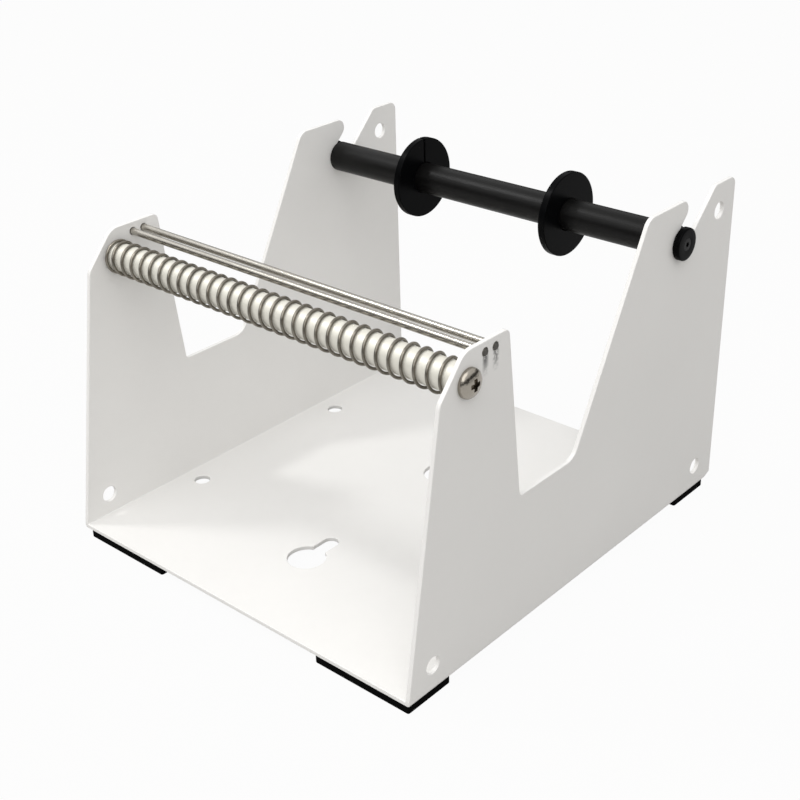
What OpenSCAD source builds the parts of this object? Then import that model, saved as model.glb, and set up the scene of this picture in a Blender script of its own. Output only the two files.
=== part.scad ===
// Desk dispenser for a roll of labels: a folded sheet frame with two cheeks, a sprung roller and two
// guide rods at the front, and a lift-out spindle with two sliding guide discs at the rear.
// The front faces -Y, the spindle and the roller lie along X, and the feet stand on Z = 0.

/* [Frame sheet] */
// Outside width over both cheeks
frame_w = 200; // [160:1:240]
// Depth of the cheeks, front edge to rear edge
frame_d = 221.8; // [200:0.1:260]
// Distance of the rear edge of the base from the rear edge of the cheeks
base_gap = 5.3; // [3:0.1:9]
// Height of the towers above the underside of the base
frame_h = 151.7; // [125:0.1:185]
// Thickness of the steel sheet
sheet_t = 2; // [1.5:0.1:3]
// Inside radius of the two long folds
fold_r = 0.5; // [0.3:0.1:3]
// Outside radius of the two long folds
fold_outer_r = 1.2; // [0.5:0.1:5]

/* [Cheek outline] */
// Height of the upright toe at the front of the base
toe_z = 3; // [2:0.1:6]
// Setback of the upper end of the leaning front edge
lean_y = 20.4; // [15:0.1:24]
// Distance of the upper end of the leaning front edge below the nose top
lean_drop = 15.8; // [13:0.1:20]
// Setback of the front end of the nose top
nose_front_y = 34.4; // [31:0.1:40]
// Length of the nose top
nose_top_l = 25.8; // [24:0.1:32]
// Distance of the nose top below the towers
nose_drop = 14.3; // [5:0.1:30]
// Distance of the notch behind the nose top
notch_gap = 8; // [4:0.1:12]
// Length of the bottom of the notch
notch_l = 36.7; // [25:0.1:45]
// Height of the bottom of the notch
notch_z = 62; // [50:0.5:75]
// Distance of the front corner of the tower from the rear edge
tower_front_gap = 68.8; // [60:0.1:78]
// Height of the bevelled heel at the rear of the base
heel_z = 2.2; // [1.5:0.1:9]

/* [Cheek corner radii] */
// Radius at the upper end of the leaning edge
lean_r = 6; // [1:0.5:8]
// Radius at the front of the nose top
nose_front_r = 8; // [1:0.5:10]
// Radius at the rear of the nose top
nose_rear_r = 3; // [1:0.5:5]
// Radius in the front corner of the notch
notch_front_r = 1.5; // [0.5:0.1:4]
// Radius in the rear corner of the notch
notch_rear_r = 8; // [1:0.5:12]
// Radius at the front corner of the tower
tower_front_r = 6; // [1:0.5:9]
// Radius at the sharp tip of the tower beside the slot
tower_tip_r = 4.2; // [1:0.1:5]
// Radius at both upper corners of the horn behind the slot
horn_r = 4; // [1:0.5:5]
// Radius at the heel
heel_r = 0.6; // [0.3:0.1:3]

/* [Spindle slot] */
// Distance of the spindle axis from the rear edge
spindle_gap = 43.1; // [40:0.1:48]
// Distance of the spindle axis below the top of the towers
spindle_drop = 18.2; // [15:0.1:22]
// Width of the slot
slot_w = 11.4; // [9:0.1:13]
// Angle of the slot above the horizontal
slot_angle = 45; // [42:1:50]

/* [Fixing holes] */
// Diameter of every round fixing hole
hole_d = 7.6; // [4:0.1:9]
// Height of the two lower holes in each cheek
low_hole_z = 11.8; // [10:0.1:16]
// Setback of the front lower hole
low_hole_front_y = 14.3; // [11:0.1:20]
// Distance of the rear lower hole from the rear edge
low_hole_rear_gap = 14.9; // [11:0.1:20]
// Distance of the horn hole from the rear edge
horn_hole_gap = 12.4; // [10.5:0.1:13.5]
// Distance of the horn hole below the top
horn_hole_drop = 12.6; // [10:0.1:14]
// Distance of each column of holes in the base from the outside of its cheek
base_hole_gap = 12.9; // [10:0.1:40]
// Setback of the front row of holes in the base
base_row_y = 60.9; // [45:0.1:75]
// Distance between the two rows of holes in the base
base_row_pitch = 93.8; // [60:0.1:110]

/* [Keyholes] */
// Diameter of the round mouth of a keyhole
keyhole_d = 17.5; // [14:0.1:20]
// Width of the neck of a keyhole
keyhole_neck_w = 7.4; // [5:0.1:9]
// Distance from the middle of the mouth to the end of the neck
keyhole_throw = 15.4; // [14:0.1:22]

/* [Feet] */
// Length of a rubber foot along the width of the frame
foot_l = 50; // [30:1:60]
// Width of a rubber foot
foot_w = 25; // [15:1:30]
// Thickness of a rubber foot
foot_t = 3.5; // [2:0.1:8]
// Radius of the corners of a rubber foot
foot_r = 1; // [0.5:0.1:4]
// Distance of the right feet from the right side of the frame
foot_right_inset = 0.5; // [0:0.1:8]
// Distance of the left feet from the left side of the frame
foot_left_inset = 4.4; // [0:0.1:8]

/* [Roller] */
// Distance of the roller axis behind the front end of the nose top
roller_gap = 1.4; // [0:0.1:3]
// Distance of the roller axis below the nose top
roller_drop = 12.5; // [11:0.1:14]
// Diameter of the solid roller rod
roller_d = 12.4; // [10:0.1:13]
// Depth of the tapped hole in each end of the rod
roller_tap_depth = 18; // [14:1:30]

/* [Roller spring] */
// Diameter of the spring wire
wire_d = 1.3; // [0.8:0.1:1.5]
// Number of turns from the end of the close turns to the right end
spring_turns = 31.6; // [20:0.1:34]
// Turns wound close at the left end
closed_turns = 0.3; // [0:0.1:2]
// Gap between the close turns
closed_gap = 0.1; // [0:0.05:0.8]
// Distance between the left end of the spring and the cheek
spring_left_gap = 0.4; // [0.4:0.1:2]
// Distance between the right end of the spring and the cheek
spring_right_gap = 1.6; // [0.4:0.1:4]

/* [Roller screws] */
// Diameter of the screw thread
screw_d = 6; // [4:0.1:6.5]
// Length of the screw under its head
screw_l = 16; // [10:1:18]
// Diameter of the domed head
screw_head_d = 12; // [9:0.1:13]
// Height of the domed head
screw_head_h = 4; // [3:0.1:5]
// Height of the straight rim of the head
screw_rim_h = 1.5; // [0.5:0.1:2.5]

/* [Guide rods] */
// Diameter of a guide rod
guide_d = 3.1; // [2.5:0.1:4]
// Distance of the front guide rod from the rear end of the nose top
guide_front_gap = 14.3; // [13:0.1:15]
// Distance of the front guide rod below the nose top
guide_front_drop = 4.3; // [3.5:0.1:5]
// Distance of the rear guide rod from the rear end of the nose top
guide_rear_gap = 8.2; // [6:0.1:9]
// Distance of the rear guide rod below the nose top
guide_rear_drop = 4.2; // [3.2:0.1:5]
// How far each end stands out of the cheek
guide_proud = 0.4; // [0:0.1:2]

/* [Spindle] */
// Wall of the turning tube
tube_wall = 0.9; // [0.6:0.1:2]
// Wall of the bushes between the tube and the axle
bush_wall = 0.88; // [0.5:0.01:2]
// Gap between each end of the tube and the cheek
tube_end_gap = 0.3; // [0.2:0.1:2]
// Length of the bush in each end of the tube
bush_l = 12; // [6:1:30]
// Diameter of the end caps
cap_d = 14.4; // [13.5:0.1:18]
// Thickness of the end caps
cap_t = 2.9; // [2:0.1:6]
// Gap between a cap and the outside of the cheek
cap_gap = 0.2; // [0.1:0.1:1]
// Thread of the small countersunk cap screws
cap_screw_d = 3; // [2:0.1:4]
// Head diameter of the cap screws
cap_screw_head_d = 5.6; // [4.6:0.1:7]
// Length of the cap screws
cap_screw_l = 10; // [6:1:16]

/* [Guide discs] */
// Diameter of the guide discs
disc_d = 38.2; // [30:0.1:46]
// Thickness of the guide discs
disc_t = 3.4; // [2:0.1:8]
// Place of the left disc on the tube, from the middle
left_disc_x = -43.1; // [-80:0.1:-10]
// Place of the right disc on the tube, from the middle
right_disc_x = 41.1; // [10:0.1:80]
// Width of the slit that lets a disc grip the tube
slit_w = 0.9; // [0.5:0.1:2]
// Bevel on the rims of the discs and caps
rim_bevel = 0.3; // [0.1:0.1:0.6]

/* [Hidden] */
$fn = 64;

// How far a cut runs past the faces it opens
overrun = 1;
// Radial clearance of a pin or a shaft in its hole
fit_gap = 0.05;
// Radial clearance of a piece pushed home in its seat
seat_gap = 0.02;
// Radial clearance of the holes for the screws and the guide rods in the cheeks
screw_gap = 0.2;
// Clearance of the axle on each side of its slot
slot_gap = 0.3;
// Clearance between the spring wire and the rod inside it
spring_gap = 0.3;
// Bevel at the ends of the rods and the axle
end_bevel = 0.4;
// Depth of the cross in a screw head, as a share of the height of the head
cross_depth_share = 0.5;
// Length and width of the cross, as shares of the diameter of the head
cross_length_share = 0.46;
cross_width_share = 0.11;
// Reach of a corner block past its corner, as a share of its distance from the arc's middle
corner_reach_share = 0.4;
// Growth of an arc's radius, as a share, with which it crosses the two sides it meets
arc_growth_share = 0.0002;
// Places of the slits in the left and the right disc, from the top towards the front
left_slit_angle = 0;
right_slit_angle = 240;
// Facets of the spring: rings to a turn and sides to a ring
spring_rings = 8;
spring_sides = 6;
// Place round the rod at which the close turns end, from the top towards the front
spring_phase = 32;

inner_w = frame_w - 2 * sheet_t;
front_y = -frame_d / 2;
hole_reach = frame_w + 2 * overrun;
axle_d = slot_w - 2 * slot_gap;
tube_l = inner_w - 2 * tube_end_gap;
tube_bore = axle_d + 2 * (fit_gap + bush_wall + seat_gap);
tube_d = tube_bore + 2 * tube_wall;
cap_face_x = frame_w / 2 + cap_gap;
axle_l = 2 * cap_face_x;
cap_screw_head_h = (cap_screw_head_d - cap_screw_d) / 2;
roller_l = inner_w;
base_rows = [base_row_y, base_row_y + base_row_pitch];
base_hole_x = frame_w / 2 - base_hole_gap;

// Setbacks and heights round a cheek
base_d = frame_d - base_gap;
nose_rear_y = nose_front_y + nose_top_l;
nose_z = frame_h - nose_drop;
notch_front_y = nose_rear_y + notch_gap;

// Direction of the slot and of its front side, in the plane of the cheek
slot_dir = [cos(slot_angle), sin(slot_angle)];
slot_side = [-sin(slot_angle), cos(slot_angle)] * slot_w / 2;
slot_seat = [frame_d - spindle_gap, frame_h - spindle_drop];

// Point where a side of the slot that starts at p meets the top of the cheek
function slot_mouth(p) = p + slot_dir * (frame_h - p[1]) / slot_dir[1];
tower_tip = slot_mouth(slot_seat + slot_side);
horn_tip = slot_mouth(slot_seat - slot_side);

// Bottom of the heel bevel, carried on below the sheet
heel_under_y = base_d - overrun * base_gap / heel_z;

// Corners of a cheek: setback, height and radius, round the outline from the front of the base
cheek_corners = [
    [0, -overrun, 0],
    [heel_under_y, -overrun, 0],
    [frame_d, heel_z, heel_r],
    [frame_d, frame_h, horn_r],
    [horn_tip[0], horn_tip[1], horn_r],
    [slot_seat[0] - slot_side[0], slot_seat[1] - slot_side[1], 0],
    [slot_seat[0] + slot_side[0], slot_seat[1] + slot_side[1], 0],
    [tower_tip[0], tower_tip[1], tower_tip_r],
    [frame_d - tower_front_gap, frame_h, tower_front_r],
    [notch_front_y + notch_l, notch_z, notch_rear_r],
    [notch_front_y, notch_z, notch_front_r],
    [nose_rear_y, nose_z, nose_rear_r],
    [nose_front_y, nose_z, nose_front_r],
    [lean_y, nose_z - lean_drop, lean_r],
    [0, toe_z, 0]
];

// Centres of the round holes in the cheeks, and the axes of the rods: setback and height
cheek_holes = [
    [low_hole_front_y, low_hole_z],
    [frame_d - low_hole_rear_gap, low_hole_z],
    [frame_d - horn_hole_gap, frame_h - horn_hole_drop]
];
guide_places = [
    [nose_rear_y - guide_front_gap, nose_z - guide_front_drop],
    [nose_rear_y - guide_rear_gap, nose_z - guide_rear_drop]
];
roller_place = [nose_front_y + roller_gap, nose_z - roller_drop];

function unit(v) = v / norm(v);
function half_angle(a, p, b) = acos(unit(a - p) * unit(b - p)) / 2;
// Middle of the arc of radius r that rounds corner p between its neighbours a and b
function arc_middle(a, p, b, r) = p + unit(unit(a - p) + unit(b - p)) * r / sin(half_angle(a, p, b));
// Point where that arc leaves the side from p to a
function arc_end(a, p, b, r) = p + unit(a - p) * r / tan(half_angle(a, p, b));
// Point of a list of corners, counted round and round
function corner_at(corners, i) = let (q = corners[(i + len(corners)) % len(corners)]) [q[0], q[1]];
// True where the outline turns outwards at a corner, which is left
function turns_out(corners, i) =
    cross(corner_at(corners, i) - corner_at(corners, i - 1),
          corner_at(corners, i + 1) - corner_at(corners, i)) > 0;
// Points of the outline at a corner: the corner itself, or both ends of the arc in a rounded inner corner
function corner_points(corners, i) =
    let (a = corner_at(corners, i - 1), p = corner_at(corners, i), b = corner_at(corners, i + 1))
    let (r = corners[i][2])
    r > 0 && !turns_out(corners, i) ? [arc_end(a, p, b, r), arc_end(b, p, a, r)] : [p];

// Round cutter whose arc just crosses the sides that a true arc of radius r would touch
module arc_disc(r) {
    circle(r * (1 + arc_growth_share));
}

// The sliver between a sharp corner p and its arc, with some reach past the corner
module corner_block(a, p, b, r) {
    middle = arc_middle(a, p, b, r);
    difference() {
        polygon([arc_end(a, p, b, r), p + (p - middle) * corner_reach_share, arc_end(b, p, a, r), middle]);
        translate(middle) arc_disc(r);
    }
}

// Outline through corners that each have a radius of their own, given anticlockwise
module rounded_outline(corners) {
    difference() {
        polygon([for (i = [0 : len(corners) - 1], p = corner_points(corners, i)) p]);
        for (i = [0 : len(corners) - 1]) {
            a = corner_at(corners, i - 1);
            p = corner_at(corners, i);
            b = corner_at(corners, i + 1);
            r = corners[i][2];
            if (r > 0 && turns_out(corners, i)) corner_block(a, p, b, r);
            if (r > 0 && !turns_out(corners, i)) translate(arc_middle(a, p, b, r)) arc_disc(r);
        }
    }
}

// Puts a shape drawn in setback and height on the frame, extruded across the width w about the middle
module across(w) {
    translate([-w / 2, front_y, foot_t]) rotate([90, 0, 90]) linear_extrude(w) children();
}

// Puts a solid drawn along +Z on a cross axis through the frame at a setback and a height
module on_axis(place, x = 0) {
    translate([x, front_y + place[0], foot_t + place[1]]) rotate([0, 90, 0]) children();
}

// Round bar along +Z about its middle, with bevelled ends
module bar(d, l, bevel = end_bevel) {
    rotate_extrude()
        polygon([
            [0, -l / 2], [d / 2 - bevel, -l / 2], [d / 2, bevel - l / 2],
            [d / 2, l / 2 - bevel], [d / 2 - bevel, l / 2], [0, l / 2]
        ]);
}

module hole(d, l) {
    cylinder(d = d, h = l, center = true);
}

// Cross-section of a trough with rounded lower corners
module trough_outline(w, floor_z, top_z, r) {
    rounded_outline([[-w / 2, floor_z, r], [w / 2, floor_z, r], [w / 2, top_z, 0], [-w / 2, top_z, 0]]);
}

module folded_sheet() {
    l = frame_d + 2 * overrun;
    translate([0, front_y + l - overrun, foot_t])
        rotate([90, 0, 0])
            linear_extrude(l)
                difference() {
                    trough_outline(frame_w, 0, frame_h + overrun, fold_outer_r);
                    trough_outline(inner_w, sheet_t, frame_h + 2 * overrun, fold_r);
                }
}

module cheek_profile() {
    difference() {
        rounded_outline(cheek_corners);
        translate(slot_seat) arc_disc(slot_w / 2);
    }
}

// The strip of base between the cheeks that is cut away behind the rear edge of the base
module base_trim() {
    w = inner_w - 2 * fold_r;
    l = frame_d - base_d + overrun;
    translate([-w / 2, front_y + base_d, foot_t - overrun]) cube([w, l, sheet_t + 2 * overrun]);
}

module keyhole(y) {
    l = sheet_t + 2 * overrun;
    translate([0, front_y + y, foot_t + sheet_t / 2]) {
        hole(keyhole_neck_w, l);
        translate([0, -keyhole_throw, 0]) hole(keyhole_d, l);
        translate([-keyhole_neck_w / 2, -keyhole_throw, -l / 2]) cube([keyhole_neck_w, keyhole_throw, l]);
    }
}

module frame() {
    color("white")
        difference() {
            intersection() {
                folded_sheet();
                across(frame_w + 2 * overrun) cheek_profile();
            }
            base_trim();
            for (place = cheek_holes) on_axis(place) hole(hole_d, hole_reach);
            for (place = guide_places) on_axis(place) hole(guide_d + 2 * screw_gap, hole_reach);
            on_axis(roller_place) hole(screw_d + 2 * screw_gap, hole_reach);
            for (y = base_rows) {
                keyhole(y);
                for (side = [-1, 1])
                    translate([side * base_hole_x, front_y + y, foot_t + sheet_t / 2])
                        hole(hole_d, sheet_t + 2 * overrun);
            }
        }
}

// Rubber foot from its left front corner
module foot(x, y) {
    color("black")
        translate([x, y, 0])
            linear_extrude(foot_t)
                rounded_outline([
                    [0, 0, foot_r], [foot_l, 0, foot_r], [foot_l, foot_w, foot_r], [0, foot_w, foot_r]
                ]);
}

foot_left_x = foot_left_inset - frame_w / 2;
foot_right_x = frame_w / 2 - foot_right_inset - foot_l;
foot_rear_y = front_y + base_d - foot_w;

module foot_front_left() foot(foot_left_x, front_y);
module foot_front_right() foot(foot_right_x, front_y);
module foot_rear_left() foot(foot_left_x, foot_rear_y);
module foot_rear_right() foot(foot_right_x, foot_rear_y);

module roller_rod() {
    color("silver")
        on_axis(roller_place)
            difference() {
                bar(roller_d, roller_l);
                for (end = [-1, 1])
                    translate([0, 0, end * (roller_l - roller_tap_depth + overrun) / 2])
                        hole(screw_d + 2 * fit_gap, roller_tap_depth + overrun);
            }
}

// Domed head with a cross, its seat at Z = 0 and its top at +Z
module domed_head(d, h, rim) {
    dome_r = (pow(d / 2, 2) + pow(h - rim, 2)) / (2 * (h - rim));
    cross_l = d * cross_length_share;
    cross_w = d * cross_width_share;
    cross_h = h * cross_depth_share;
    difference() {
        intersection() {
            cylinder(d = d, h = h);
            translate([0, 0, h - dome_r]) sphere(dome_r);
        }
        for (turn = [0, 90])
            rotate([0, 0, turn])
                translate([-cross_l / 2, -cross_w / 2, h - cross_h])
                    cube([cross_l, cross_w, cross_h + overrun]);
    }
}

module roller_screw() {
    color("lightgray") {
        domed_head(screw_head_d, screw_head_h, screw_rim_h);
        translate([0, 0, -screw_l]) cylinder(d = screw_d, h = screw_l);
    }
}

module roller_screw_right() {
    on_axis(roller_place, frame_w / 2) roller_screw();
}

module roller_screw_left() {
    mirror([1, 0, 0]) on_axis(roller_place, frame_w / 2) roller_screw();
}

module guide_rod(place) {
    color("gainsboro") on_axis(place) bar(guide_d, frame_w + 2 * guide_proud, min(end_bevel, guide_proud));
}

module guide_rod_front() guide_rod(guide_places[0]);
module guide_rod_rear() guide_rod(guide_places[1]);

// The spring is one tube along a helix, wound close at the left end and open from there on.
wire_r = wire_d / 2;
closed_pitch = wire_d + closed_gap;
spring_start_x = spring_left_gap + wire_r - inner_w / 2;
spring_l = inner_w - spring_left_gap - spring_right_gap - wire_d;
// The pitch grows over the first turn after the close ones.
closed_l = closed_pitch * (closed_turns + 1 / 2);
open_pitch = (spring_l - closed_l) / (spring_turns - 1 / 2);
// The flats of the wire clear the rod also halfway between two rings.
spring_flat_r = wire_r * cos(180 / spring_sides);
spring_r = (roller_d / 2 + spring_gap + spring_flat_r) / cos(180 / spring_rings);

// Place along the rod at turn t, where t is below 0 in the close turns
function spring_x(t) =
    let (growing = max(min(t, 1), 0))
    spring_start_x + closed_pitch * (closed_turns + min(t, 1))
        + (open_pitch - closed_pitch) * growing * growing / 2 + open_pitch * max(t - 1, 0);
// Outward direction of the helix at turn t, and its point there
function spring_out(t) = let (a = 360 * t + spring_phase) [0, -sin(a), cos(a)];
function spring_point(t) = [spring_x(t), 0, 0] + spring_out(t) * spring_r;
// Direction of the wire, over a tenth of a ring each way
function spring_along(t) =
    let (step = 1 / spring_rings / 10) unit(spring_point(t + step) - spring_point(t - step));
// One ring of the wire, moved along by a straight length
function spring_ring(t, straight = 0) =
    let (out = spring_out(t), along = spring_along(t), middle = spring_point(t))
    let (across = unit(cross(along, out)))
    [for (k = [0 : spring_sides - 1])
        let (a = 360 * (k + 1 / 2) / spring_sides)
        middle + along * straight + (cross(across, along) * cos(a) + across * sin(a)) * wire_r];

spring_first = -closed_turns;
spring_last = spring_turns;
spring_steps = ceil((spring_last - spring_first) * spring_rings);
function spring_turn(i) = spring_first + (spring_last - spring_first) * i / spring_steps;
spring_tube = concat(
    [spring_ring(spring_first, -wire_d)],
    [for (i = [0 : spring_steps]) spring_ring(spring_turn(i))],
    [spring_ring(spring_last, wire_d)]
);

// Least distance between the skins of neighbouring turns, measured on the points of their rings
function ring_gap(a, b) = min([for (p = a, q = b) norm(p - q)]);
spring_least_gap = min([
    for (i = [0 : len(spring_tube) - 1])
        for (j = [i + spring_rings - 2 : min(i + spring_rings + 2, len(spring_tube) - 1)])
            ring_gap(spring_tube[i], spring_tube[j])
]);

module tube_skin(rings) {
    n = len(rings[0]);
    last = len(rings) - 1;
    polyhedron(
        points = [for (ring = rings, p = ring) p],
        faces = concat(
            [for (k = [1 : n - 2]) [0, k, k + 1]],
            [for (i = [0 : last - 1], k = [0 : n - 1])
                [i * n + k, (i + 1) * n + k, (i + 1) * n + (k + 1) % n]],
            [for (i = [0 : last - 1], k = [0 : n - 1])
                [i * n + k, (i + 1) * n + (k + 1) % n, i * n + (k + 1) % n]],
            [for (k = [1 : n - 2]) [last * n, last * n + k + 1, last * n + k]]
        )
    );
}

module roller_spring() {
    echo(spring_least_gap = spring_least_gap);
    color("dimgray")
        translate([0, front_y + roller_place[0], foot_t + roller_place[1]])
            tube_skin(spring_tube);
}

module spindle_axle() {
    color("dimgray")
        on_axis(slot_seat)
            difference() {
                bar(axle_d, axle_l);
                for (end = [-1, 1])
                    translate([0, 0, end * (axle_l - cap_screw_l + overrun) / 2])
                        hole(cap_screw_d + 2 * fit_gap, cap_screw_l + overrun);
            }
}

module spindle_tube() {
    color("black")
        on_axis(slot_seat)
            difference() {
                hole(tube_d, tube_l);
                hole(tube_bore, tube_l + 2 * overrun);
            }
}

// Plain bush between the tube and the axle, flush with the end of the tube
module tube_bush(side) {
    color("dimgray")
        on_axis(slot_seat, side * (tube_l - bush_l) / 2)
            difference() {
                hole(tube_bore - 2 * seat_gap, bush_l);
                hole(axle_d + 2 * fit_gap, bush_l + 2 * overrun);
            }
}

module tube_bush_left() tube_bush(-1);
module tube_bush_right() tube_bush(1);

// End cap with a countersunk hole, its inner face at Z = 0
module spindle_cap() {
    seat_d = cap_screw_head_d + 2 * fit_gap;
    color("black")
        difference() {
            translate([0, 0, cap_t / 2]) bar(cap_d, cap_t, rim_bevel);
            translate([0, 0, cap_t / 2]) hole(cap_screw_d + 2 * fit_gap, cap_t + 2 * overrun);
            translate([0, 0, cap_t - cap_screw_head_h])
                cylinder(d1 = cap_screw_d + 2 * fit_gap, d2 = seat_d, h = cap_screw_head_h);
            translate([0, 0, cap_t]) cylinder(d = seat_d, h = overrun);
        }
}

module spindle_cap_right() {
    on_axis(slot_seat, cap_face_x) spindle_cap();
}

module spindle_cap_left() {
    mirror([1, 0, 0]) on_axis(slot_seat, cap_face_x) spindle_cap();
}

// Countersunk screw through the cap, its head flush with the outside
module cap_screw() {
    cross_l = cap_screw_head_d * cross_length_share;
    cross_w = cap_screw_head_d * cross_width_share;
    cross_h = cap_screw_head_h * cross_depth_share;
    color("dimgray")
        difference() {
            union() {
                translate([0, 0, cap_t - cap_screw_head_h])
                    cylinder(d1 = cap_screw_d, d2 = cap_screw_head_d, h = cap_screw_head_h);
                translate([0, 0, cap_t - cap_screw_l])
                    cylinder(d = cap_screw_d, h = cap_screw_l - cap_screw_head_h);
            }
            for (turn = [0, 90])
                rotate([0, 0, turn])
                    translate([-cross_l / 2, -cross_w / 2, cap_t - cross_h])
                        cube([cross_l, cross_w, cross_h + overrun]);
        }
}

module cap_screw_right() {
    on_axis(slot_seat, cap_face_x) cap_screw();
}

module cap_screw_left() {
    mirror([1, 0, 0]) on_axis(slot_seat, cap_face_x) cap_screw();
}

// Disc that grips the tube by a slit from its rim to its bore
module guide_disc(x, slit_angle) {
    color("black")
        translate([x, front_y + slot_seat[0], foot_t + slot_seat[1]])
            rotate([slit_angle, 0, 0])
                difference() {
                    rotate([0, 90, 0]) bar(disc_d, disc_t, rim_bevel);
                    rotate([0, 90, 0]) hole(tube_d + 2 * fit_gap, disc_t + 2 * overrun);
                    translate([-disc_t, -slit_w / 2, 0]) cube([2 * disc_t, slit_w, disc_d]);
                }
}

module guide_disc_left() guide_disc(left_disc_x, left_slit_angle);
module guide_disc_right() guide_disc(right_disc_x, right_slit_angle);

frame();
foot_front_left();
foot_front_right();
foot_rear_left();
foot_rear_right();
roller_rod();
roller_spring();
roller_screw_left();
roller_screw_right();
guide_rod_front();
guide_rod_rear();
spindle_axle();
spindle_tube();
tube_bush_left();
tube_bush_right();
spindle_cap_left();
spindle_cap_right();
cap_screw_left();
cap_screw_right();
guide_disc_left();
guide_disc_right();
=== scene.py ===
"""Finish of a label dispenser: a folded sheet frame, a sprung roller, guide rods and a lift-out spindle."""

from math import asin, copysign, cos, pi, radians, sin, sqrt, tan, tau

import bmesh
import bpy
from bpy.props import FloatProperty, FloatVectorProperty, IntProperty, PointerProperty
from bpy.types import Operator, Panel, PropertyGroup
from mathutils import Matrix, Vector


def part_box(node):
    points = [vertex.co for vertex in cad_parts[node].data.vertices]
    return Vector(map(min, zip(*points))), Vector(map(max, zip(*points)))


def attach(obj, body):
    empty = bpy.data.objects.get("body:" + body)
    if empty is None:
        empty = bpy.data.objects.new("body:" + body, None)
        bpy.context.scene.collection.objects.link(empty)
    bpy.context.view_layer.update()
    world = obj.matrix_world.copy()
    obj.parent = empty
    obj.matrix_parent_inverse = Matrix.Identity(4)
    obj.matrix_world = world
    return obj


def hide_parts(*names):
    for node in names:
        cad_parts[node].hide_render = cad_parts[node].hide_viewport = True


bl_info = {
    "name": "Label Dispenser",
    "version": (1, 0, 0),
    "blender": (4, 5, 0),
    "location": "View3D > Sidebar > Dispenser",
    "description": "Builds the finished pieces of a desk label dispenser around its frame",
    "category": "Add Mesh",
}

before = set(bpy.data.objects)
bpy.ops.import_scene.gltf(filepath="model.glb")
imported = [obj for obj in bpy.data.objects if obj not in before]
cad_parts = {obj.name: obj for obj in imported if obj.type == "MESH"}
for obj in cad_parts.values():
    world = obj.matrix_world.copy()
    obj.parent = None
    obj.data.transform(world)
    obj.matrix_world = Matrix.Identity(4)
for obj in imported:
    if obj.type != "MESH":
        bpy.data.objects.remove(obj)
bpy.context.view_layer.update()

MM = 0.001
# Lengths below this count as nothing
TINY = 0.001 * MM
WHITE = (1, 1, 1, 1)
# Turn between two points of a round stretch, by what it bounds
ARC_STEP = radians(6)
HOLE_STEP = radians(9)
TUBE_RIM_STEP = radians(22)
CAP_EDGE_STEP = radians(15)
DISC_STEP = radians(3)
DISC_BORE_STEP = radians(4)
# Facets round a turned piece
TURNED_FACETS = 96
# Flats across the rounded rim of a plate
RIM_STEPS = 4
# Flats across each fold of the sheet
FOLD_STEPS = 12
# Rows of facets up a roller screw's crown
CROWN_STEPS = 18
# Edges that turn by more than this stay sharp
SHARP_ANGLE = radians(38)
# The same on a piece that was cut
CUT_SHARP_ANGLE = radians(24)


def middle_of(node):
    """Middle of a node's box."""
    low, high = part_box(node)
    return (low + high) / 2


def extent_of(node):
    """Width, depth and height of a node's box."""
    low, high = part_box(node)
    return high - low


SHEET_LOW, SHEET_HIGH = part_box("frame")
ROLLER = middle_of("roller_rod")
SPINDLE = middle_of("spindle_tube")
GUIDE_RODS = ("guide_rod_front", "guide_rod_rear")


def length(name, description, mm):
    """A length that a user may change, with its default in millimetres."""
    return FloatProperty(name=name, description=description, default=mm * MM, precision=5, unit="LENGTH")


def amount(name, description, default, **options):
    """A plain number that a user may change."""
    return FloatProperty(name=name, description=description, default=default, **options)


def rotation(name, description, turn):
    """An angle that a user may change."""
    return amount(name, description, turn, subtype="ANGLE")


def position(name, description, *metres):
    """A place that a user may change."""
    return FloatVectorProperty(
        name=name, description=description, default=metres, subtype="XYZ", unit="LENGTH", precision=5
    )


def tint(name, description, red, green, blue):
    """A colour that a user may change."""
    return FloatVectorProperty(
        name=name, description=description, default=(red, green, blue), subtype="COLOR", min=0, max=1
    )


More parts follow.
